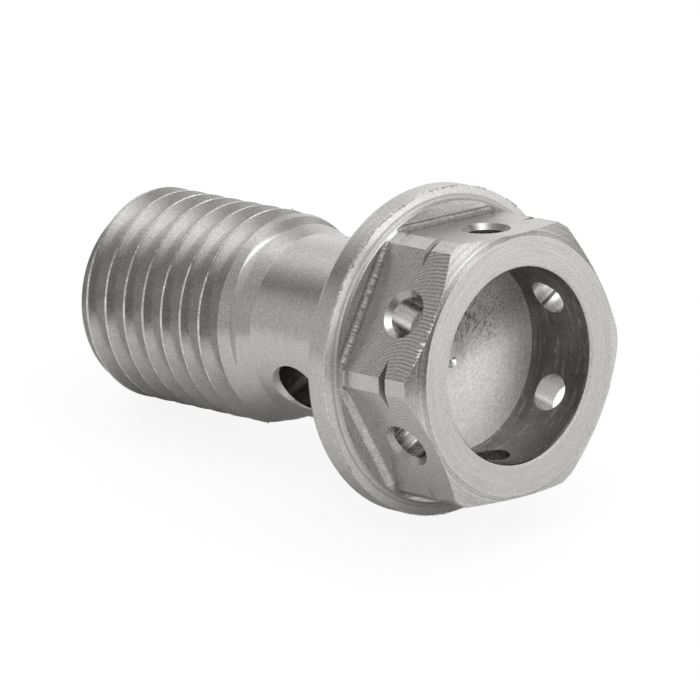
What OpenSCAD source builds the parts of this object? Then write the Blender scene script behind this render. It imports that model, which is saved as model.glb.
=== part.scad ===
// Banjo bolt for a hydraulic hose: one piece of titanium bar, turned, drilled, milled and threaded.
// It stands on the flat of its head, with the threaded end up along +Z. Sizes are in millimetres.

/* [Head] */
// distance across the six milled flats
key_af = 12; // [11.6:0.1:12.6]
// diameter of the turned bar that is left at the six corners
corner_d = 13.45; // [13:0.05:13.6]
// diameter of the flat ring on the head's face
face_d = 11.74; // [11.4:0.02:11.9]
// slope of the chamfer around the head's face, from the face
face_chamfer_deg = 32; // [20:1:40]
// height from the head's face to the flange's bearing face
head_h = 5.88; // [5.4:0.02:8]
// height above the face of the turned groove that shows at the corners
corner_groove_z = 1.94; // [1.5:0.02:2.6]
// width of that groove
corner_groove_w = 0.4; // [0.2:0.02:0.6]
// depth of that groove
corner_groove_depth = 0.35; // [0.15:0.01:0.45]

/* [Recess in the head] */
// bore of the weight-saving recess
recess_d = 8.86; // [7:0.02:9.2]
// depth of the recess
recess_depth = 3.68; // [3.4:0.02:4]
// chamfer at its rim
recess_chamfer = 0.15; // [0.05:0.01:0.3]

/* [Lock-wire holes] */
// one hole is drilled from each flat into the recess
wire_hole_d = 1.76; // [1.2:0.02:2]
// diameter of the countersink at each flat
wire_mouth_d = 2.26; // [2.1:0.02:2.8]
// height of the holes above the face
wire_hole_z = 2.02; // [1.7:0.02:2.3]

/* [Flange] */
// diameter of the flange
flange_d = 15; // [14.8:0.1:18]
// thickness of the flange's rim
rim_t = 1.1; // [0.8:0.05:1.4]
// slope of the flange's front, from the plane of the face
front_slope_deg = 15; // [10:1:20]
// radius turned between the flange's front and the corners
front_fillet = 0.42; // [0.2:0.02:0.42]
// gap from that radius to the fine line scored around the flange's front
score_gap = 0.02; // [0.02:0.01:0.06]
// depth below the rim's front edge of the floors that the flats' milling leaves in the flange
floor_drop = 0.24; // [0.15:0.01:0.35]
// bevel that the cutter's corner leaves at the foot of each flat
foot_bevel = 0.12; // [0.04:0.01:0.2]

/* [Neck] */
// diameter of the plain neck
neck_d = 8.38; // [8.3:0.02:8.8]
// length of the neck, from the bearing face to the shoulder
neck_len = 7.22; // [6:0.02:9]
// radius where the neck meets the bearing face
neck_fillet = 0.3; // [0.1:0.05:0.5]
// half angle of the shoulder between the neck and the thread
shoulder_deg = 19; // [12:1:30]

/* [Thread] */
// major diameter of the right-hand thread
thread_d = 9.76; // [9.74:0.01:9.97]
// pitch of the thread
pitch = 1.25; // [1:0.25:1.25]
// length from the bearing face to the tip
under_head = 18.62; // [17:0.02:26]
// size of the 45 degree chamfer at the tip
tip_chamfer = 0.8; // [0.8:0.05:1.2]
// turn of the thread about the axis
thread_turn = 86; // [0:1:359]
// turns over which the groove climbs out at the neck
runout_turns = 0.9; // [0.3:0.1:1.2]

/* [Fluid passages] */
// diameter of the bore along the axis, drilled from the tip
bore_d = 3.5; // [2.5:0.1:4]
// diameter of the hole across the neck
cross_d = 2.5; // [2:0.1:3]
// height of the cross hole above the bearing face
cross_z = 4.77; // [3:0.01:5.5]
// countersink at each mouth of the cross hole, measured along its axis
cross_mouth = 0.24; // [0.1:0.02:0.4]

/* [Hidden] */
$fn = 96;
metal = [0.66, 0.65, 0.64];

corner_r = corner_d / 2;
face_r = face_d / 2;
flat_r = key_af / 2;
flange_r = flange_d / 2;
neck_r = neck_d / 2;
thread_r = thread_d / 2;
recess_r = recess_d / 2;
face_chamfer_z = (corner_r - face_r) * tan(face_chamfer_deg);
front_z = head_h - rim_t;
floor_z = front_z - floor_drop;
edge_z = 0.12;
edge_r = 0.06;
score_w = 0.1;
score_depth = 0.06;
over = 1;

// The flange's front is a shallow cone, and its height at any radius comes from its slope.
function cone_z(r) = front_z - (flange_r - r) * tan(front_slope_deg);

// The fillet touches the corner cylinder and that cone. The flange's width limits it, and the scored
// line outside it.
fillet_r = min(front_fillet, 0.8 * (flange_r - corner_r));
fillet_r0 = corner_r + fillet_r;
fillet_z0 = cone_z(fillet_r0) - fillet_r / cos(front_slope_deg);
fillet_end = fillet_r0 - fillet_r * sin(front_slope_deg);
score_fit = min(1, (flange_r - fillet_end) / 2 / (score_gap + score_w));
score_half = score_fit * score_w / 2;
score_r = fillet_end + score_fit * score_gap + score_half;

// Heights of the shank, from the head's face.
neck_end = head_h + neck_len;
tip_z = head_h + under_head;
shoulder_z = neck_end + (thread_r - neck_r) / tan(shoulder_deg);

// Metric thread form: a sixty degree groove, with flats an eighth of a pitch wide at the crest.
flank = tan(30);
thread_depth = 0.6134 * pitch;
root_r = thread_r - thread_depth;
crest_half = pitch / 16;
groove_out = 0.07;
steps = 60;

// Points of an arc in the plane of the turned profile.
function arc(x, z, r, a, b, n) = [for (i = [0 : n]) let (t = a + (b - a) * i / n) [x + r * cos(t), z + r * sin(t)]];

// Outline of the blank on one side of the axis, from the head's face to the tip.
blank = concat(
    [[0, 0], [face_r, 0], [corner_r, face_chamfer_z]],
    [[corner_r, corner_groove_z - corner_groove_w / 2]],
    [[corner_r - corner_groove_depth, corner_groove_z]],
    [[corner_r, corner_groove_z + corner_groove_w / 2]],
    arc(fillet_r0, fillet_z0, fillet_r, 180, 90 + front_slope_deg, 6),
    [[score_r - score_half, cone_z(score_r - score_half)]],
    [[score_r, cone_z(score_r) + score_fit * score_depth]],
    [[score_r + score_half, cone_z(score_r + score_half)]],
    [[flange_r, front_z], [flange_r, head_h - edge_z], [flange_r - edge_r, head_h]],
    arc(neck_r + neck_fillet, head_h + neck_fillet, neck_fillet, 270, 180, 6),
    [[neck_r, neck_end], [thread_r, shoulder_z]],
    [[thread_r, tip_z - tip_chamfer], [thread_r - tip_chamfer, tip_z], [0, tip_z]]
);

module turned_blank() {
    rotate_extrude() polygon(blank);
}

// What the end mill takes off one flat, seen along the flat.
module flat_milling() {
    foot = [[flat_r, floor_z - foot_bevel], [flat_r + foot_bevel, floor_z]];
    far = flange_r + over;
    rotate([90, 0, 0]) linear_extrude(height = 2 * far, center = true)
        polygon(concat([[flat_r, -over]], foot, [[far, floor_z], [far, -over]]));
}

module recess() {
    translate([0, 0, -over]) cylinder(r = recess_r, h = recess_depth + over);
    translate([0, 0, -over]) cylinder(r1 = recess_r + recess_chamfer + over, r2 = recess_r, h = recess_chamfer + over);
}

// Points along +X: a drilled hole from the recess out through a flat, with its countersink.
module wire_hole() {
    sink = (wire_mouth_d - wire_hole_d) / 2;
    translate([0, 0, wire_hole_z]) rotate([0, 90, 0]) {
        cylinder(r = wire_hole_d / 2, h = flat_r + over);
        translate([0, 0, flat_r - sink]) cylinder(r1 = wire_hole_d / 2, r2 = wire_mouth_d / 2 + over, h = sink + over);
    }
}

module fluid_bore() {
    r = bore_d / 2;
    bottom = head_h + cross_z - cross_d / 2 - 0.4;
    translate([0, 0, bottom]) cylinder(r = r, h = tip_z + over - bottom);
    translate([0, 0, bottom - r / tan(59)]) cylinder(r1 = 0, r2 = r, h = r / tan(59));
    translate([0, 0, tip_z - 0.3]) cylinder(r1 = r, r2 = r + 0.3 + over, h = 0.3 + over);
}

// The cross hole lines up with a pair of flats and runs right through the neck.
module cross_hole() {
    r = cross_d / 2;
    sink = neck_r - cross_mouth;
    translate([0, 0, head_h + cross_z]) rotate([0, 0, 60]) {
        rotate([0, 90, 0]) cylinder(r = r, h = 2 * thread_r + 2 * over, center = true);
        for (side = [0, 180]) rotate([0, 0, side]) rotate([0, 90, 0])
            translate([0, 0, sink]) cylinder(r1 = r, r2 = r + over, h = over);
    }
}

// The groove starts past the tip. At the shoulder it lifts out of the metal, as the tool did, with its
// section unchanged.
groove_end = neck_end + 0.07;
last = floor((tip_z + pitch - groove_end) / pitch * steps);
lift_steps = runout_turns * steps;
function lift(i) = (thread_depth + groove_out - 0.02) * max(0, i - (last - lift_steps)) / lift_steps;
function groove_half(r) = pitch / 2 - crest_half - (thread_r - r) * flank;
function groove_point(i, r, side) =
    let (a = thread_turn - 360 * i / steps, z = tip_z + pitch - pitch * i / steps)
    [r * cos(a), r * sin(a), z + side * groove_half(r - lift(i))];
function groove_ring(i) = [
    groove_point(i, root_r + lift(i), -1),
    groove_point(i, thread_r + groove_out, -1),
    groove_point(i, thread_r + groove_out, 1),
    groove_point(i, root_r + lift(i), 1)
];

module thread_groove() {
    points = [for (i = [0 : last]) each groove_ring(i)];
    sides = [
        for (i = [0 : last - 1]) for (k = [0 : 3])
            each [
                [4 * i + k, 4 * i + 4 + (k + 1) % 4, 4 * i + (k + 1) % 4],
                [4 * i + k, 4 * i + 4 + k, 4 * i + 4 + (k + 1) % 4]
            ]
    ];
    ends = [[0, 1, 2, 3], [4 * last + 3, 4 * last + 2, 4 * last + 1, 4 * last]];
    polyhedron(points = points, faces = concat(sides, ends), convexity = 12);
}

module banjo_bolt() {
    color(metal) difference() {
        turned_blank();
        for (i = [0 : 5]) rotate([0, 0, 60 * i]) flat_milling();
        for (i = [0 : 5]) rotate([0, 0, 60 * i]) wire_hole();
        recess();
        fluid_bore();
        cross_hole();
        thread_groove();
    }
}

banjo_bolt();
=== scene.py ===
import math
import random
from types import SimpleNamespace

import bpy
from bpy.props import FloatProperty, FloatVectorProperty, IntProperty
from mathutils import Matrix, Vector


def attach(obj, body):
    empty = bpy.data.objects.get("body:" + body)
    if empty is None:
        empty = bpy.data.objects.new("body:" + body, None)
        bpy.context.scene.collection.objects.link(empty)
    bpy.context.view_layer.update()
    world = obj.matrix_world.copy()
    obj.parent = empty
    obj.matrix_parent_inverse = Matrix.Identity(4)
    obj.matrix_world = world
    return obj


bl_info = {
    "name": "Banjo bolt",
    "version": (1, 0, 0),
    "blender": (4, 5, 0),
    "location": "3D View > Sidebar > Banjo bolt",
    "description": "Finishes the packed banjo bolt in machined titanium and lights it on a white sweep",
    "category": "Object",
}

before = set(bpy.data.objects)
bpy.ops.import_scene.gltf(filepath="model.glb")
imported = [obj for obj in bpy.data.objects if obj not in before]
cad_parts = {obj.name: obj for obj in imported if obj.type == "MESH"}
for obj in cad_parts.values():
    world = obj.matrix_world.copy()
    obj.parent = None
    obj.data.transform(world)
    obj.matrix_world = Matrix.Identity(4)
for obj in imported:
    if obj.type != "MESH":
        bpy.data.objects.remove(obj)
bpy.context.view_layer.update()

MM = 0.001
SIXTH = math.radians(60)

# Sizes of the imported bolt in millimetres. The material needs them to find its surfaces. Heights run
# from the head's face to the thread's tip.
FACE_R, CORNER_R, FLAT_R, RECESS_R, FLANGE_R = 5.87, 6.725, 6.0, 4.43, 7.5
RECESS_Z, FLOOR_Z, FRONT_Z, BACK_Z = 3.68, 4.54, 4.78, 5.88
NECK_R, THREAD_R, PITCH = 4.19, 4.88, 1.25
NECK_END, SHOULDER_Z, TIP_Z = 13.1, 15.104, 24.5
WIRE_Z, WIRE_R, MOUTH_R = 2.02, 0.88, 1.13
FACE_SLOPE = math.tan(math.radians(32))
FRONT_TILT, SHOULDER_TILT, FLANK_TILT = math.radians(15), math.radians(19), math.radians(30)
FOOT_BEVEL, RIM_BEVEL = 0.12, 0.15
# The groove at the corners: its height, a radius just inside its root and half its width.
GROOVE_Z, NOTCH_R, NOTCH_HALF = 1.94, 6.3, 0.21
# Radii between which the fillet at the corners fades into the flange's front, and the fine line
# scored round that front.
FILLET_R, FILLET_END = 6.85, 7.0
SCORE_R, SCORE_Z, SCORE_HALF = 7.106, FRONT_Z - 0.08, 0.055
# The thread's rise for each radian, and its crest at its turn from the axis, near the neck.
RISE = PITCH / (2 * math.pi)
THREAD_TURN, CREST_Z, CREST_TURNS = 86, 15.125, 6.75
CREST_AT = (CREST_Z - math.radians(THREAD_TURN) * RISE) % PITCH
# Radii just inside the thread and on both sides of its root, and where the root is at full depth.
THREAD_INSIDE, ROOT_IN, ROOT_OUT, ROOT_Z = 3.95, 3.98, 4.28, 14.6
# Heights between which the groove's shallow end fades into the shoulder.
RUN_OUT_Z, RUN_OUT_END = 14.22, 14.4
# Feed of the milling cutter for each tooth.
MILLING_STEP = 0.1845
FEED = 2 * math.pi / MILLING_STEP
# How far a point may lie from the plane that it's on, from a turned surface and from a bored one.
ON, NEAR, CLEAR = 0.006, 0.01, 0.02

# What each surface adds to the height of the turning marks and of the grain, to the grain's and the
# specks' share of the tone, to the tone and to the roughness.
TURNING = {"face": 0.8, "cone": 1.8, "wall": 1.2, "threaded": -0.65}
GRAIN = {"face": -1, "threaded": -0.4, "hole": -0.7}
GRAIN_TONE = {"bottom": 0.05, "flat": 0.05, "pocket": 0.05, "face": -0.33, "hole": -0.25}
SPECK_TONE = {"face": -0.05}
# The score line, the fillet and the groove's shallow end are darkened as painted shade; the flange's
# front is made lighter.
FRONT_TONE = {"front": 0.1, "score": -0.3, "fillet": -0.3, "run_out": -0.06}
ROUGHNESS = {
    "bottom": 0.36,
    "hole": 0.05,
    "run_out": 0.3,
    "face": 0.06,
    "cone": 0.04,
    "pocket": 0.04,
    "flat": 0.02,
    "wall": 0.06,
    "front": 0.13,
}

# Burrs: stations round a flat's arc, the flange's edge and the thread's crest, the width of a flake
# on each, and the tallest flake in parts of the burr height.
ARC_COUNT, EDGE_COUNT, CREST_COUNT = 250, 900, 4200
ARC_WIDTH, EDGE_WIDTH, CREST_WIDTH = 0.04, 0.06, 0.05
TALLEST = 1.5
# How far a flake's foot is sunk into the metal, at its sides and at its ends.
SUNK_SIDE, SUNK_END = 0.01, 0.006
# The flat whose arc is torn, how high, and how high the other arcs' burrs are. Then the middle and
# the spread of the torn stretches along that arc and round the flange's edge.
TORN_FLAT, TORN, SLIGHT = 5, 1.9, 0.2
TORN_ARC, TORN_EDGE = (82, 52), (770, 70)
# Half the length of the band at a flat's foot, the radius at which it ends, its stations and rows.
FOOT_REACH, FOOT_END_R, FOOT_COUNT, FOOT_ROWS = 3.22, 6.84, 420, 8
# How far the band's edges are sunk, and its bulge and marks in parts of its width and in millimetres.
SUNK, BULGE, TOOTH, CHIP = 0.012, 0.16, 0.012, 0.016
# Places along X between which burr metal goes from one side's painted shade to the other's.
SIDE_FADE = (-2.8, 2.2)
# The pip: its middle, its height, its sides, and for each ring the radius, the height and the tilt.
PIP_AT, PIP_TOP, PIP_SIDES = Vector((-0.26, -0.66, RECESS_Z)), 0.13, 9
PIP_RINGS = ((0.14, 0.11, 1), (0.25, -0.01, 0))
PIP_TILT = (0.11, -0.23)

# The photograph's ground: the way down to it, the turn at which the flange touches it, and the
# point in the bolt's middle, in metres, that it lies under.
DOWN = Vector((-0.98351018, 0.10746405, 0.14546202))
TOUCH = math.radians(173.764)
MIDDLE = Vector((0, 0, 0.0125))
# The floor under the standing bolt lies this far below its face, in metres.
FLOOR_GAP = 0.00001
# Corners of a round piece of ground.
DISC_STEPS = 96
# The photograph's camera: its right, up and back, its place, and its lens and sensor in millimetres.
CAMERA_ROWS = (
    (-0.024097164, 0.719272501, -0.694310014),
    (0.973877073, 0.173751339, 0.146198216),
    (0.225793651, -0.672649642, -0.704669913),
)
CAMERA_PLACE = Vector((87.0935506, -262.1370446, -263.664069)) * MM
CAMERA_LENS, SENSOR = 441.58, 36.0
RIGHT = Vector(CAMERA_ROWS[0])

# Soft lights of the studio, and dark cards with a level below 0, from the photograph's own ground:
# azimuth (0 is the camera's side, 90 its right), height, sharpness and level.
LIGHTS = (
    (90, 80, 26, 3.29),
    (62, 4, 26, 3.21),
    (95, -4, 26, 1.77),
    (37, 63, 26, 1.50),
    (-15, 53, 26, 1.41),
    (70, 47, 26, 1.29),
    (-153, 50, 26, 1.20),
    (180, 10, 6, 0.93),
    (128, 23, 26, 0.86),
    (0, 90, 6, 0.65),
    (82, 19, 26, 0.57),
    (-90, 10, 6, 0.47),
    (-45, 10, 6, 0.25),
    (-72, 24, 40, 0.12),
    (-113, 31, 120, -0.24),
    (39, 29, 120, -0.14),
    (32, -18, 14, -0.15),
)
# The cards leave at least this level.
DARKEST = 0.03
# Noise from 0 to 1 is centred on 0 and widened by this.
NOISE_GAIN = 2.6


class Socket:
    """A shader socket that can be used in sums."""

    def __init__(self, graph, socket):
        self.graph, self.socket = graph, socket

    def _with(self, operation, *others):
        return self.graph.maths(operation, self, *others)

    def __add__(self, other):
        return self._with("ADD", other)

    __radd__ = __add__

    def __mul__(self, other):
        return self._with("MULTIPLY", other)

    __rmul__ = __mul__

    def __sub__(self, other):
        return self._with("SUBTRACT", other)

    def __rsub__(self, other):
        return self.graph.maths("SUBTRACT", other, self)

    def __truediv__(self, other):
        return self._with("DIVIDE", other)

    def __rtruediv__(self, other):
        return self.graph.maths("DIVIDE", other, self)

    def __neg__(self):
        return self._with("MULTIPLY", -1.0)

    def __abs__(self):
        return self._with("ABSOLUTE")

    def __pow__(self, other):
        return self._with("POWER", other)

    def __lt__(self, other):
        return self._with("LESS_THAN", other)

    def __gt__(self, other):
        return self._with("GREATER_THAN", other)

    def near(self, value, width):
        return self._with("COMPARE", value, width)

    def least(self, other):
        return self._with("MINIMUM", other)

    def most(self, other):
        return self._with("MAXIMUM", other)


class Graph:
    """Builds the nodes of one material or world."""

    def __init__(self, tree):
        self.tree = tree
        tree.nodes.clear()

    def node(self, kind, settings=None, inputs=None, output=0):
        """Adds a node. Its settings come first, then the values or links of its sockets."""
        made = self.tree.nodes.new(kind)
        for key, value in (settings or {}).items():
            setattr(made, key, value)
        for key, value in (inputs or {}).items():
            if isinstance(value, Socket):
                self.tree.links.new(value.socket, made.inputs[key])
            else:
                made.inputs[key].default_value = value
        return Socket(self, made.outputs[output]) if len(made.outputs) else made

    def maths(self, operation, *values):
        if all(not isinstance(v, Socket) for v in values):
            raise ValueError("numbers alone are worked out in Python")
        return self.node("ShaderNodeMath", {"operation": operation}, dict(enumerate(values)))

    def vector(self, operation, *values, output=0):
        settings = {"operation": operation}
        return self.node("ShaderNodeVectorMath", settings, dict(enumerate(values)), output)

    def length(self, vector):
        return self.vector("LENGTH", vector, output=1)

    def unit(self, vector):
        return self.vector("NORMALIZE", vector)

    def scaled(self, vector, factor):
        return self.node("ShaderNodeVectorMath", {"operation": "SCALE"}, {0: vector, "Scale": factor})

    def combine(self, x=0.0, y=0.0, z=0.0):
        return self.node("ShaderNodeCombineXYZ", None, {0: x, 1: y, 2: z})

    def separate(self, vector):
        made = self.node("ShaderNodeSeparateXYZ", None, {0: vector}).socket.node
        return [Socket(self, s) for s in made.outputs]

    def mix(self, factor, a, b):
        """Mixes two numbers."""
        return self.node("ShaderNodeMix", {"data_type": "FLOAT"}, {0: factor, 2: a, 3: b})

    def mix_vector(self, factor, a, b):
        return self.node("ShaderNodeMix", {"data_type": "VECTOR"}, {0: factor, 4: a, 5: b}, 1)

    def ramp(self, value, low, high, out_low=0.0, out_high=1.0):
        """A smooth step between two values."""
        return self.node(
            "ShaderNodeMapRange",
            {"interpolation_type": "SMOOTHSTEP"},
            {0: value, 1: low, 2: high, 3: out_low, 4: out_high},
        )

    def noise(self, vector, scale=1.0, detail=2.0, rough=0.5):
        """Noise between about -1 and 1."""
        made = self.node(
            "ShaderNodeTexNoise",
            {"noise_dimensions": "3D"},
            {"Vector": vector, "Scale": scale, "Detail": detail, "Roughness": rough},
        )
        return (made - 0.5) * NOISE_GAIN

    def metal(self, lit, rough, height, normal=None):
        """A bare metal's shader and the material's output."""
        inputs = {"Strength": 1.0, "Distance": MM, "Height": height}
        if normal is not None:
            inputs["Normal"] = normal
        bumped = self.node("ShaderNodeBump", None, inputs)
        shader = self.node(
            "ShaderNodeBsdfPrincipled",
            None,
            {"Base Color": lit, "Metallic": 1.0, "Roughness": rough, "Normal": bumped},
        )
        self.node("ShaderNodeOutputMaterial", None, {"Surface": shader})


def colour(rgb):
    return (*rgb, 1.0)


def new_material(name):
    """A new material and the graph that fills it."""
    made = bpy.data.materials.new(name)
    made.use_nodes = True
    return made, Graph(made.node_tree)


def photo_direction(azimuth, height):
    """A direction in the bolt's frame, from an azimuth and a height over the photograph's ground."""
    a, h = math.radians(azimuth), math.radians(height)
    up = -DOWN
    away = up.cross(RIGHT)
    return RIGHT * (math.sin(a) * math.cos(h)) - away * (math.cos(a) * math.cos(h)) + up * math.sin(h)


class MetalSettings(bpy.types.PropertyGroup):
    base: FloatVectorProperty(
        name="Metal colour",
        description="Colour of the bare titanium",
        subtype="COLOR",
        size=3,
        default=(0.515, 0.507, 0.49),
        min=0.0,
        max=1.0,
    )
    roughness: FloatProperty(
        name="Roughness",
        description="Roughness of the turned surfaces",
        subtype="FACTOR",
        default=0.22,
        min=0.02,
        max=1.0,
    )
    turning_height: FloatProperty(
        name="Turning marks",
        description="Height of the marks that the lathe tool leaves",
        subtype="DISTANCE",
        unit="LENGTH",
        precision=6,
        default=0.0022 * MM,
        min=0.0,
        max=0.02 * MM,
    )
    milling_height: FloatProperty(
        name="Milling marks",
        description="Height of the arcs that the cutter leaves on the flats",
        subtype="DISTANCE",
        unit="LENGTH",
        precision=6,
        default=0.004 * MM,
        min=0.0,
        max=0.02 * MM,
    )
    grain_height: FloatProperty(
        name="Grain",
        description="Height of the fine tumbled grain",
        subtype="DISTANCE",
        unit="LENGTH",
        precision=6,
        default=0.0016 * MM,
        min=0.0,
        max=0.02 * MM,
    )


class BurrSettings(bpy.types.PropertyGroup):
    height: FloatProperty(
        name="Burr height",
        description="Height of an average burr left on an edge",
        subtype="DISTANCE",
        unit="LENGTH",
        precision=6,
        default=0.1 * MM,
        min=0.0,
        max=0.3 * MM,
    )
    foot_width: FloatProperty(
        name="Foot band",
        description="Width of the toothed band at the foot of each flat",
        subtype="DISTANCE",
        unit="LENGTH",
        precision=6,
        default=0.27 * MM,
        min=0.05 * MM,
        max=0.4 * MM,
    )
    # The torn colour is lighter than the bolt's metal: a painted highlight on the burrs and the pip.
    torn: FloatVectorProperty(
        name="Torn colour",
        description="Colour of freshly torn metal",
        subtype="COLOR",
        size=3,
        default=(0.74, 0.73, 0.71),
        min=0.0,
        max=1.0,
    )
    toothed: FloatVectorProperty(
        name="Toothed colour",
        description="Colour of the toothed band at the foot of each flat",
        subtype="COLOR",
        size=3,
        default=(0.5, 0.49, 0.475),
        min=0.0,
        max=1.0,
    )
    seed: IntProperty(name="Seed", description="Seed of the burrs' layout", default=7, min=0)


class StageSettings(bpy.types.PropertyGroup):
    ground_radius: FloatProperty(
        name="Ground radius",
        description="Radius of the photograph's piece of ground",
        subtype="DISTANCE",
        unit="LENGTH",
        default=0.15,
        min=0.01,
        max=1.0,
    )
    white: FloatVectorProperty(
        name="Sweep colour",
        description="Colour of the white sweep",
        subtype="COLOR",
        size=3,
        default=(1.0, 1.0, 1.0),
        min=0.0,
        max=1.0,
    )
    fill: FloatProperty(
        name="Fill level", description="Level of the studio's even light", default=0.16, min=0.0, max=4.0
    )
    glow: FloatProperty(
        name="Sweep glow",
        description="Share of the sweep's white that the bolt can't shade",
        subtype="FACTOR",
        default=0.9,
        min=0.0,
        max=1.0,
    )


def find_place(g):
    """Where the shaded point is on the bolt, in millimetres."""
    at = SimpleNamespace(point=g.scaled(g.node("ShaderNodeTexCoord", output=3), 1 / MM))
    at.x, at.y, at.z = g.separate(at.point)
    at.r = g.length(g.combine(at.x, at.y))
    at.angle = g.maths("ARCTAN2", at.y, at.x)
    at.cos, at.sin = at.x / at.r, at.y / at.r
    geometry = g.node("ShaderNodeNewGeometry").socket.node
    at.normal = Socket(g, geometry.outputs["Normal"])
    at.facing = g.separate(Socket(g, geometry.outputs["True Normal"]))[2]

    # The nearest flat, and its own directions: across it and along it.
    at.which = g.maths("ROUND", at.angle / SIXTH)
    sector = at.which * SIXTH
    cos_s, sin_s = g.maths("COSINE", sector), g.maths("SINE", sector)
    at.across = at.x * cos_s + at.y * sin_s
    at.along = at.y * cos_s - at.x * sin_s

    # The distance from the axis of that flat's lock-wire hole, and the turn about it.
    at.from_wire = g.length(g.combine(at.along, at.z - WIRE_Z))
    at.wire_angle = g.maths("ARCTAN2", at.z - WIRE_Z, at.along)
    # The height above the thread's own spiral.
    at.helix = g.maths("FLOORED_MODULO", at.z - at.angle * RISE, PITCH)
    return at


def find_surfaces(g, at):
    """Masks that are 1 on one surface of the bolt and 0 on the others."""
    across, r, z = at.across, at.r, at.z
    on = SimpleNamespace()
    on.flat = across.near(FLAT_R, ON) * (z < FLOOR_Z - 0.1)
    on.pocket = z.near(FLOOR_Z, ON) * (across > FLAT_R + 0.05)
    on.foot = (across > FLAT_R + ON / 2) * (z > FLOOR_Z - FOOT_BEVEL - NEAR)
    on.foot = on.foot * (z < FLOOR_Z - ON / 2) * (across < FLAT_R + FOOT_BEVEL + NEAR / 2)
    on.bottom = z.near(RECESS_Z, ON) * (r < RECESS_R + NEAR)
    on.wall = r.near(RECESS_R, CLEAR) * (z < RECESS_Z)
    on.face = z < 0.004
    on.cone = z.near((r - FACE_R) * FACE_SLOPE, NEAR) * (r > FACE_R + NEAR)
    on.notch = (r < CORNER_R - NEAR) * (r > NOTCH_R) * z.near(GROOVE_Z, NOTCH_HALF) * (1 - on.flat)
    on.rim = r.near(FLANGE_R, NEAR)
    on.hole = (r > RECESS_R + 0.03) * (across < FLAT_R - ON) * (at.from_wire < MOUTH_R + NEAR)
    on.threaded = (z > NECK_END) * (z < TIP_Z - NEAR) * (r > THREAD_INSIDE)
    on.flank = on.threaded * (abs(at.facing) > 0.8)
    on.root = (abs(at.facing) < 0.25) * (r < ROOT_OUT) * (r > ROOT_IN)
    on.root = on.root * (z > ROOT_Z) * (z < TIP_Z - CLEAR)
    on.score = r.near(SCORE_R, SCORE_HALF) * z.near(SCORE_Z, 0.06)
    on.front = (r > CORNER_R + CLEAR) * (z > GROOVE_Z + 1) * (z < FRONT_Z + 0.004) * (1 - on.pocket)
    on.fillet = on.front * g.ramp(r, FILLET_END, FILLET_R)
    on.rim_bevel = (r > RECESS_R + 0.005) * (r < RECESS_R + RIM_BEVEL + NEAR)
    on.rim_bevel = on.rim_bevel * (z < RIM_BEVEL + NEAR) * (z > 0.002)
    shoulder_r = (z - NECK_END) * math.tan(SHOULDER_TILT) + NECK_R
    on.run_out = on.threaded * g.ramp(z, RUN_OUT_END, RUN_OUT_Z) * (r < shoulder_r - NEAR)
    on.turned = 1 - (on.flat + on.pocket + on.foot + on.hole).least(1.0)
    return on


def smooth_normals(g, at, on):
    """True normals for the faceted thread, a dish for the recess's floor, and burnished edges."""

    def leaning(out, down):
        return g.combine(at.cos * out, at.sin * out, -down)

    side = g.maths("SIGN", at.facing) * -1
    lead = side * RISE / at.r
    tilt = math.tan(FLANK_TILT)
    flank = g.combine(at.cos * tilt - at.sin * lead, at.sin * tilt + at.cos * lead, -side)
    smooth = g.mix_vector(on.flank, at.normal, g.unit(flank))
    smooth = g.mix_vector(on.root, smooth, leaning(1, 0.0))
    bowl = g.ramp(at.r, 2.9, RECESS_R, -0.12, -0.34)
    smooth = g.mix_vector(on.bottom, smooth, g.unit(leaning(bowl, 1.0)))
    smooth = g.mix_vector(on.score * 0.85, smooth, leaning(math.sin(FRONT_TILT), math.cos(FRONT_TILT)))
    # The chamfer at the recess's rim is shaded as face and wall.
    bevel = g.mix_vector(g.ramp(at.r, RECESS_R + 0.05, RECESS_R + 0.07), leaning(-1, 0.0), (0, 0, -1))
    smooth = g.mix_vector(on.rim_bevel * 0.9, smooth, bevel)
    # The groove's shallow end on the shoulder is burnished over.
    shoulder = leaning(math.cos(SHOULDER_TILT), math.sin(SHOULDER_TILT))
    return g.mix_vector(on.run_out * 0.9, smooth, g.unit(shoulder))


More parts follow.
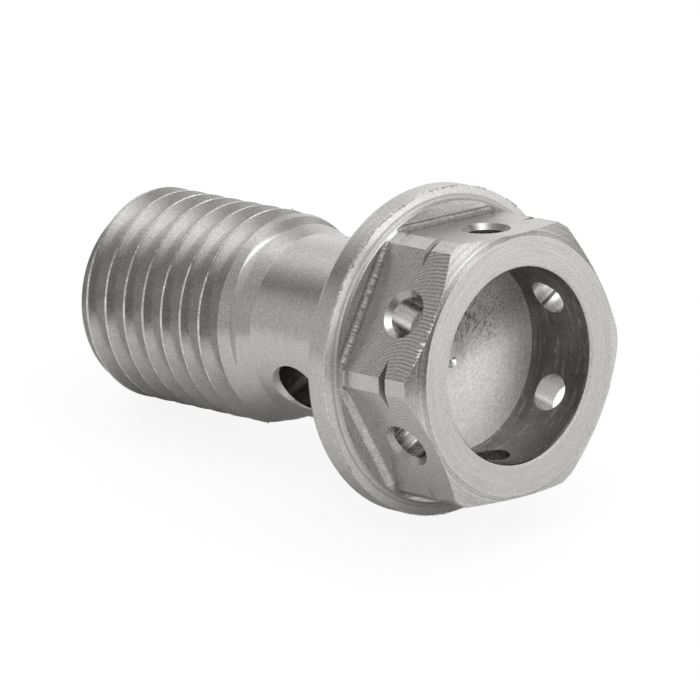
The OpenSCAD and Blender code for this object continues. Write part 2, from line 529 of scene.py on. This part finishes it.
def find_marks(g, at, on):
    """Marks of the tools and of wear, and masks of painted shade and glint: waves and noise about 0, and
    masks from 0 to 1.
    """
    x, y, z, r, along, which = at.x, at.y, at.z, at.r, at.along, at.which
    marks = SimpleNamespace()
    # Marks that run round the axis, and along the thread where there is one.
    across_turning = g.combine(r, g.mix(on.threaded, z, at.helix))
    fine = g.noise(across_turning, scale=9.0, rough=0.6)
    broad = g.noise(across_turning, scale=2.6, detail=1.0)
    wander = g.noise(g.combine(r * 8, z * 8, at.angle * 2.2))
    marks.ring = fine * 0.8 + wander * (0.5 - on.threaded * 0.3) + broad * 0.5

    # Arcs of the milling cutter: upright over a flat's front half and slanting over its back half.
    flat_place = g.combine(along, z, which)
    ease = g.node("ShaderNodeMapRange", None, {0: z, 1: 0.9, 2: 2.5})
    bend = ((ease ** 3) - (ease ** 4) * 0.5) * 1.33 + (z - 2.5).most(0.0) * 0.83
    waver = g.noise(flat_place, scale=1.6, detail=3.0, rough=0.6) * 0.05
    arcs = g.maths("SINE", (along + bend + along * z * 0.035 + waver) * FEED)
    back = g.maths("SINE", (along - z * 0.55 + waver) * FEED)
    back = back * g.ramp(z, 2.2, 3.4) * g.ramp(along, -0.5, 1.2)
    patch = g.ramp(g.noise(flat_place, scale=1.1, detail=1.0), -0.7, 0.6, 0.35, 1.0)
    edge_dim = g.ramp(z, FLOOR_Z - 0.5, FLOOR_Z - 1.0)
    marks.mill = (arcs + back * 0.45) * patch * (edge_dim * 0.8 + 0.2)
    # The cutter's end in a pocket, and its corner at a flat's foot.
    swirl = g.maths("SINE", (along * 0.8 + at.across * 1.1 + waver) * FEED) * 0.3
    marks.swirl = swirl + g.noise(g.combine(along * 0.8, at.across * 6, which), scale=1.2) * 1.1
    teeth = g.maths("SINE", (along + waver * 0.6) * FEED)
    marks.teeth = teeth * 0.8 + g.noise(at.point, scale=5.0) * 0.5

    # Fine grain, the raggedness of broken edges and of their painted glint, and the pits and scratches
    # of the recess's floor.
    marks.grain = g.noise(at.point, scale=11.0, rough=0.8)
    marks.specks = g.noise(at.point, scale=5.0, rough=0.6)
    marks.broken = g.ramp(g.noise(at.point, scale=5.0, detail=3.0, rough=0.7), -0.2, 0.35)
    # A ramp across the recess's floor towards +X: where its pits and scratches gather, and how far its
    # painted shade darkens it.
    marks.worn = g.ramp(x * 0.9 - y * 0.15, -0.7, 1.5)
    pits = g.ramp(g.noise(g.combine(x * 8.0, y * 8.0, 3.0), rough=0.65), 0.1, 0.5)
    marks.pits = pits * (marks.worn * 0.85 + 0.15)
    marks.radial = g.noise(g.combine(at.angle * 11, r * 2.0, 1.0), rough=0.6) * g.ramp(r, 3.4, 1.2)
    marks.scratched = g.ramp(marks.radial, -0.05, 0.3) * marks.worn
    # Long scratches round the recess's wall, and streaks along the lock-wire holes at the left.
    long_way = g.noise(g.combine(z * 4.2, at.angle * 2.0, 5.0), detail=3.0, rough=0.75)
    marks.round_wall = g.ramp(long_way, 0.05, 0.7)
    marks.smear = g.noise(g.combine(z * 0.7, at.angle * 2.4, 9.0))
    drilled = g.noise(g.combine(at.wire_angle * 2.6, which * 5, 2.0), rough=0.6)
    inside = at.from_wire < WIRE_R + CLEAR
    strength = (which < 0.5) * 0.25 + (which < -1.5) * 0.75
    marks.streaks = g.ramp(drilled, -0.08, 0.14) * inside * strength
    # Painted shade at the holes' mouths, strongest at the flat at +X.
    marks.mouth = on.hole * (1 - inside) * (which.near(0.0, 0.1) * 0.25 + 0.12)
    # A painted dark reflection: a dark line along the wall of the right-hand hole.
    marks.bar = on.hole * which.near(1.0, 0.1) * at.wire_angle.near(0.84, 0.09)
    return marks


def weighted(start, on, shares):
    """Adds each surface's share to a start value."""
    for name, share in shares.items():
        start = start + getattr(on, name) * share
    return start


def edge_tone(g, at, on, marks):
    """Painted highlights on the edges that catch the light and on the thread's crest, a painted shadow
    beside the crest, and a darker ragged ring at the face's outer edge.
    """
    r, z, broken = at.r, at.z, marks.broken
    # Painted highlights along the flats' arcs, the face's edge and the rim's front edge.
    arc_edge = on.flat * g.ramp(abs(z - (r - FACE_R) * FACE_SLOPE), 0.06, 0.02)
    face_edge = (z < 0.05) * g.ramp(abs(r - FACE_R), 0.05, 0.015)
    rim_edge = on.rim * g.ramp(z, FRONT_Z + 0.13, FRONT_Z + 0.05)
    lip = (on.cone + on.face).least(1.0) * g.ramp(abs(r - FACE_R - 0.03), 0.045, 0.01) * broken
    crest = on.threaded * (r > THREAD_R - 0.012) * (z > SHOULDER_Z - 0.7)
    from_crest = abs(at.helix - CREST_AT)
    # A painted highlight on the crest and a painted shadow beside it.
    crest_line = crest * g.ramp(from_crest, 0.075, 0.05)
    crest_side = crest * g.ramp(from_crest, 0.06, 0.08)
    edges = 1 + arc_edge * broken * 0.2 + rim_edge * broken * 0.6 + face_edge * 0.12
    return edges * (1 + crest_line * (broken * 0.4 + 0.02) - crest_side * 0.3) * (1 - lip * 0.3)


def recess_tone(g, at, on, marks):
    """Tone of the recess's floor, with its pits, scratches and painted shade, and of its wall, darkened
    as painted shade.
    """
    # Painted shade and light: the floor is darker towards +X and lighter towards -X.
    shade = 1 - on.bottom * (marks.worn * 0.74 - 0.5)
    torn = 1 - on.bottom * (marks.pits + marks.scratched) * 0.6
    # Painted shade on the wall, lighter towards the floor, and lighter where it is scratched.
    deep = g.ramp(at.z, 2.9, RECESS_Z) * 0.2
    return shade * torn * (1 - on.wall * (0.6 - deep - marks.round_wall * 0.7 - marks.smear * 0.15))


def bolt_material(settings):
    """Machined titanium. Each surface is found by its place on the bolt and gets its own tool marks."""
    made, g = new_material("machined_titanium")
    at = find_place(g)
    on = find_surfaces(g, at)
    marks = find_marks(g, at, on)
    turning, milling, grain_height = (
        value / MM for value in (settings.turning_height, settings.milling_height, settings.grain_height)
    )

    height = marks.ring * on.turned * turning * weighted(1, on, TURNING)
    height = height + marks.mill * on.flat * milling
    height = height + marks.swirl * on.pocket * (milling * 0.15)
    height = height + marks.teeth * on.foot * (milling * 1.2)
    height = height + marks.grain * grain_height * weighted(1, on, GRAIN)
    height = height + (marks.radial * 0.008 - marks.pits * 0.02) * on.bottom

    tone = 1 + marks.grain * weighted(0.36, on, GRAIN_TONE)
    tone = tone + marks.specks * weighted(0.08, on, SPECK_TONE)
    ring_tone = marks.ring * on.turned * 0.08 * (1 - on.threaded * 0.5)
    tone = tone * (1 + ring_tone + marks.mill * on.flat * 0.16)
    tone = tone * (1 + on.cone * (marks.ring * 0.42 + 0.1) + on.face * marks.ring * 0.15)
    tone = tone * (1 + on.pocket * marks.swirl * 0.1) * weighted(1, on, FRONT_TONE)
    tone = tone * edge_tone(g, at, on, marks) * recess_tone(g, at, on, marks)
    # Painted shade in the corner grooves, and the painted dark reflection in the right-hand hole.
    tone = tone * (1 - on.notch * 0.45) * (1 - marks.bar * 0.8)
    # The holes are a little darker, more along their drilled streaks, and their mouths get painted
    # shade.
    tone = tone * (1 - on.hole * (0.05 + marks.streaks * 0.75)) * (1 - marks.mouth)
    lit = g.scaled(g.combine(*settings.base), tone)

    rough = settings.roughness + marks.grain * 0.03 + marks.specks * 0.03
    rough = weighted(rough, on, ROUGHNESS).most(0.05)
    g.metal(lit, rough, height, smooth_normals(g, at, on))
    return made


def burr_material(name, shade, scale, sides):
    """Burr metal whose light and dark specks stand in for glints and shadows, made lighter or darker
    along X as sides gives: painted highlight and shade.
    """
    made, g = new_material(name)
    at = g.scaled(g.node("ShaderNodeTexCoord", output=3), 1 / MM)
    torn = g.noise(at, scale, rough=0.7)
    side = g.ramp(g.separate(at)[0], *SIDE_FADE, *sides)
    lit = g.scaled(g.combine(*shade), (torn * 0.6 + 0.95).most(0.15) * side)
    g.metal(lit, 0.32 + torn * 0.05, torn * 0.004)
    return made


def ground_material(name, settings, radius, camera_only):
    """White sweep, seen from above only, that keeps a pale shadow and fades out at its edge."""
    made, g = new_material(name)
    camera = g.node("ShaderNodeLightPath")
    backface = g.node("ShaderNodeNewGeometry", output=6)
    place = g.node("ShaderNodeTexCoord", output=3)
    paper = g.noise(place, scale=900.0) * 0.004 + 1
    base = g.scaled(g.combine(*settings.white), paper * g.mix(camera, 0.8, 0.99))
    diffuse = g.node("ShaderNodeBsdfDiffuse", None, {"Color": base})
    glow = g.node("ShaderNodeEmission", None, {"Color": colour(settings.white), "Strength": 1.0})
    seen = g.node("ShaderNodeMixShader", None, {0: camera * settings.glow, 1: diffuse, 2: glow})
    clear = g.node("ShaderNodeBsdfTransparent")
    shown = (1 - backface) * g.ramp(g.length(place), radius * 0.7, radius, 1.0, 0.0)
    if camera_only:
        shown = shown * camera
    shader = g.node("ShaderNodeMixShader", None, {0: shown, 1: clear, 2: seen})
    g.node("ShaderNodeOutputMaterial", None, {"Surface": shader})
    return made


def world_material(settings):
    """The studio around the bolt: even light, soft lamps, and white for the camera."""
    made = bpy.data.worlds.new("studio")
    made.use_nodes = True
    g = Graph(made.node_tree)
    towards = g.node("ShaderNodeTexCoord")
    level = None
    for azimuth, height, sharpness, strength in LIGHTS:
        facing = g.vector("DOT_PRODUCT", towards, photo_direction(azimuth, height), output=1)
        lobe = g.maths("EXPONENT", (facing - 1) * sharpness) * strength
        level = lobe if level is None else level + lobe
    level = (level + settings.fill).most(DARKEST)
    camera = g.node("ShaderNodeLightPath")
    inputs = {"Color": colour(settings.white), "Strength": g.mix(camera, level, 1.0)}
    shade = g.node("ShaderNodeBackground", None, inputs)
    g.node("ShaderNodeOutputWorld", None, {"Surface": shade})
    return made


def mesh_object(name, points, faces, material):
    """A new object with one mesh and one material. Its points are in metres."""
    mesh = bpy.data.meshes.new(name)
    mesh.from_pydata(points, [], faces)
    mesh.update()
    mesh.materials.append(material)
    made = bpy.data.objects.new(name, mesh)
    bpy.context.scene.collection.objects.link(made)
    return made


def disc(name, centre, up, radius, material):
    """A round piece of ground."""
    turns = [2 * math.pi * i / DISC_STEPS for i in range(DISC_STEPS)]
    points = [(radius * math.cos(a), radius * math.sin(a), 0) for a in turns]
    made = mesh_object(name, points, [list(range(DISC_STEPS))], material)
    made.rotation_mode = "QUATERNION"
    made.rotation_quaternion = up.to_track_quat("Z", "Y")
    made.location = centre


def burst(i, place):
    """1 at the middle of a torn stretch, falling off to 0 beside it."""
    middle, spread = place
    return math.exp(-(((i - middle) / spread) ** 2))


def ragged(count, rng, smooth):
    """Heights that come in bursts smooth steps long. Where one is below 0 the edge stays clean."""
    slow = [rng.random() for _ in range(count // smooth + 2)]
    made = []
    for i in range(count):
        k, t = divmod(i, smooth)
        level = slow[k] + (slow[k + 1] - slow[k]) * t / smooth
        made.append(rng.random() * (level * 1.9 - 0.35) - 0.1)
    return made


def flakes(mesh, stations, heights, width, height):
    """Adds small torn flakes. A station is the edge's point, the way out and the way to each side."""
    points, faces = mesh
    for k in range(1, len(stations) - 1):
        h = min(heights[k], TALLEST)
        if h <= 0.02:
            continue
        p, out, side_a, side_b = stations[k]
        along = (stations[k + 1][0] - stations[k - 1][0]) * (0.45 + 0.5 * h)
        reach = width * (0.5 + h)
        base = len(points)
        lean = (side_a - side_b) * (reach * (h - 0.3))
        points += [p + side_a * reach - out * SUNK_SIDE, p + along - out * SUNK_END]
        points += [p + side_b * reach - out * SUNK_SIDE, p - along - out * SUNK_END]
        points.append(p + out * (h * height) + lean)
        faces += [(base + a, base + (a + 1) % 4, base + 4) for a in range(4)]
        faces.append((base + 3, base + 2, base + 1, base))


def ring_edge(radius, height, tilt, count):
    """Stations round an edge that was turned, between a wall and a front that slopes by tilt."""
    for i in range(count + 1):
        a = 2 * math.pi * i / count
        round_way = Vector((math.cos(a), math.sin(a), 0))
        front = round_way * math.sin(tilt) - Vector((0, 0, math.cos(tilt)))
        inward = -round_way * math.cos(tilt) - Vector((0, 0, math.sin(tilt)))
        p = round_way * radius + Vector((0, 0, height))
        yield p, (round_way + front).normalized(), inward, Vector((0, 0, 1))


def arc_edge(which, count):
    """Stations along the arc where a flat meets the chamfer of the face."""
    turn = Matrix.Rotation(SIXTH * which, 3, "Z")
    half = math.sqrt(CORNER_R**2 - FLAT_R**2) - 0.03
    slope = math.atan(FACE_SLOPE)
    for i in range(count + 1):
        u = -half + 2 * half * i / count
        around = Vector((FLAT_R, u, 0)).normalized()
        p = Vector((FLAT_R, u, (math.hypot(FLAT_R, u) - FACE_R) * FACE_SLOPE))
        out = Vector((1, 0, 0)) + around * math.sin(slope) - Vector((0, 0, math.cos(slope)))
        inward = -around * math.cos(slope) - Vector((0, 0, math.sin(slope)))
        yield turn @ p, turn @ out.normalized(), turn @ Vector((0, 0, 1)), turn @ inward


def crest_edge(turns, count):
    """Stations along the thread's crest, from the neck."""
    up = Vector((0, 0, 1))
    for i in range(count + 1):
        a = math.radians(THREAD_TURN) + 2 * math.pi * turns * i / count
        round_way = Vector((math.cos(a), math.sin(a), 0))
        yield round_way * THREAD_R + up * (CREST_Z + PITCH * turns * i / count), round_way, -up, up


def foot_band(mesh, which, width, rng):
    """Adds the rounded band along the foot of a flat, with a tooth mark for each turn of the cutter."""
    points, faces = mesh
    turn = Matrix.Rotation(SIXTH * which, 3, "Z")
    bulging = Vector((1, 0, -1)).normalized()
    base = len(points)
    for i in range(FOOT_COUNT + 1):
        u = -FOOT_REACH + 2 * FOOT_REACH * i / FOOT_COUNT
        size = min(width, math.sqrt(FOOT_END_R**2 - u * u) - FLAT_R)
        tooth = 0.5 + 0.5 * math.sin(u * FEED + 0.4 * math.sin(u * 3 + which))
        rise = BULGE * size + (TOOTH * tooth + CHIP * rng.random()) * size / width
        for j in range(FOOT_ROWS):
            t = j / (FOOT_ROWS - 1)
            corner = Vector((FLAT_R - SUNK + size * t, u, FLOOR_Z + SUNK - size * (1 - t)))
            points.append(turn @ (corner + bulging * (math.sin(math.pi * t) * rise)))
        points.append(turn @ Vector((FLAT_R - CLEAR, u, FLOOR_Z + CLEAR)))
    ring = FOOT_ROWS + 1
    for i in range(FOOT_COUNT):
        a, b = base + ring * i, base + ring * (i + 1)
        for j in range(ring):
            k = (j + 1) % ring
            faces.append((a + j, a + k, b + k, b + j))
    faces.append(tuple(base + ring - 1 - j for j in range(ring)))
    faces.append(tuple(base + ring * FOOT_COUNT + j for j in range(ring)))


def pip(rng):
    """The torn pip that facing leaves on the recess's floor."""
    points, faces, count = [PIP_AT - Vector((0, 0, PIP_TOP))], [], PIP_SIDES
    for radius, drop, lean in PIP_RINGS:
        for i in range(count):
            a = 2 * math.pi * i / count
            reach = radius * (0.6 + 0.8 * rng.random())
            u, v = reach * math.cos(a), reach * math.sin(a)
            points.append(PIP_AT + Vector((u, v, lean * (PIP_TILT[0] * u + PIP_TILT[1] * v) - drop)))
    for i in range(count):
        j = (i + 1) % count
        faces.append((0, 1 + j, 1 + i))
        faces.append((1 + i, 1 + j, 1 + count + j, 1 + count + i))
    faces.append(tuple(range(1 + count, 1 + 2 * count)))
    return points, faces


def burr_meshes(settings):
    """Points in millimetres and faces of each burr piece, by name."""
    rng = random.Random(settings.seed)
    height = settings.height / MM
    names = ("chamfer_burrs", "flange_burrs", "foot_marks", "crest_burrs")
    meshes = {name: ([], []) for name in names}
    for which in range(6):
        arc = list(arc_edge(which, ARC_COUNT))
        torn = TORN if which == TORN_FLAT else SLIGHT
        heights = [
            h * (torn * burst(i, TORN_ARC) + 0.15) - 0.1 * rng.random()
            for i, h in enumerate(ragged(len(arc), rng, smooth=4))
        ]
        flakes(meshes["chamfer_burrs"], arc, heights, ARC_WIDTH, height)
        foot_band(meshes["foot_marks"], which, settings.foot_width / MM, rng)
    edge = list(ring_edge(FLANGE_R, FRONT_Z, FRONT_TILT, EDGE_COUNT))
    heights = [
        h + 1.1 * rng.random() * burst(i, TORN_EDGE)
        for i, h in enumerate(ragged(len(edge), rng, smooth=12))
    ]
    flakes(meshes["flange_burrs"], edge, heights, EDGE_WIDTH, height * 0.8)
    crest = list(crest_edge(CREST_TURNS, CREST_COUNT))
    heights = [
        h * max(0.4, 1.1 - i / 1600) - 0.15 * rng.random()
        for i, h in enumerate(ragged(len(crest), rng, smooth=14))
    ]
    flakes(meshes["crest_burrs"], crest, heights, CREST_WIDTH, height * 0.8)
    meshes["recess_pip"] = pip(rng)
    return meshes


class BANJO_OT_metal(bpy.types.Operator):
    """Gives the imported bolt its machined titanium"""

    bl_idname = "banjo_bolt.metal"
    bl_label = "Finish the bolt's metal"

    def execute(self, context):
        bolt = bpy.data.objects.get("banjo_bolt")
        if bolt is None:
            raise RuntimeError("the packed bolt isn't in the scene")
        made = bolt_material(context.scene.banjo_metal)
        bolt.data.materials.clear()
        bolt.data.materials.append(made)
        return {"FINISHED"}


class BANJO_OT_burrs(bpy.types.Operator):
    """Adds the low burrs that the tools left on the bolt's edges, and the pip in the recess"""

    bl_idname = "banjo_bolt.burrs"
    bl_label = "Add the burrs"

    def execute(self, context):
        settings = context.scene.banjo_burrs
        # The torn flakes are painted light as a highlight; the foot band is painted lighter towards -X
        # and darker towards +X as shade.
        bright = burr_material("torn_titanium", settings.torn, scale=12.0, sides=(1.0, 1.0))
        dull = burr_material("toothed_titanium", settings.toothed, scale=9.0, sides=(1.4, 0.55))
        for name, (points, faces) in burr_meshes(settings).items():
            metres = [[v * MM for v in p] for p in points]
            made = mesh_object(name, metres, faces, dull if name == "foot_marks" else bright)
            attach(made, "root")
        return {"FINISHED"}


class BANJO_OT_stage(bpy.types.Operator):
    """Makes the white sweep, the studio's light and the camera"""

    bl_idname = "banjo_bolt.stage"
    bl_label = "Make the stage"

    def execute(self, context):
        settings = context.scene.banjo_stage
        scene = context.scene
        scene.world = world_material(settings)
        low = Vector((FLANGE_R * math.cos(TOUCH), FLANGE_R * math.sin(TOUCH), BACK_Z)) * MM
        centre = MIDDLE + DOWN * (low - MIDDLE).dot(DOWN)
        radius = settings.ground_radius
        sweep = ground_material("photo_sweep", settings, radius, camera_only=False)
        disc("photo_ground", centre, -DOWN, radius, sweep)
        sweep = ground_material("floor_sweep", settings, radius, camera_only=True)
        disc("floor", Vector((0, 0, -FLOOR_GAP)), Vector((0, 0, 1)), radius, sweep)
        data = bpy.data.cameras.new("camera")
        data.sensor_width, data.lens = SENSOR, CAMERA_LENS
        data.clip_start, data.clip_end = 0.01, 10.0
        camera = bpy.data.objects.new("camera", data)
        scene.collection.objects.link(camera)
        turn = Matrix(CAMERA_ROWS).transposed().to_4x4()
        camera.matrix_world = Matrix.Translation(CAMERA_PLACE) @ turn
        scene.camera = camera
        scene.view_settings.view_transform = "Standard"
        return {"FINISHED"}


class BANJO_PT_panel(bpy.types.Panel):
    """Lists the steps that build the scene"""

    bl_idname = "BANJO_PT_panel"
    bl_label = "Banjo bolt"
    bl_space_type = "VIEW_3D"
    bl_region_type = "UI"
    bl_category = "Banjo bolt"

    def draw(self, context):
        for operator in OPERATORS:
            self.layout.operator(operator.bl_idname)


SETTINGS = {"banjo_metal": MetalSettings, "banjo_burrs": BurrSettings, "banjo_stage": StageSettings}
OPERATORS = (BANJO_OT_metal, BANJO_OT_burrs, BANJO_OT_stage)


def register():
    for name, group in SETTINGS.items():
        bpy.utils.register_class(group)
        setattr(bpy.types.Scene, name, bpy.props.PointerProperty(type=group))
    for made in (*OPERATORS, BANJO_PT_panel):
        bpy.utils.register_class(made)


def unregister():
    for made in (BANJO_PT_panel, *reversed(OPERATORS)):
        bpy.utils.unregister_class(made)
    for name, group in SETTINGS.items():
        delattr(bpy.types.Scene, name)
        bpy.utils.unregister_class(group)


def main():
    register()
    bpy.ops.banjo_bolt.metal()
    bpy.ops.banjo_bolt.burrs()
    bpy.ops.banjo_bolt.stage()


if __name__ == "__main__":
    main()
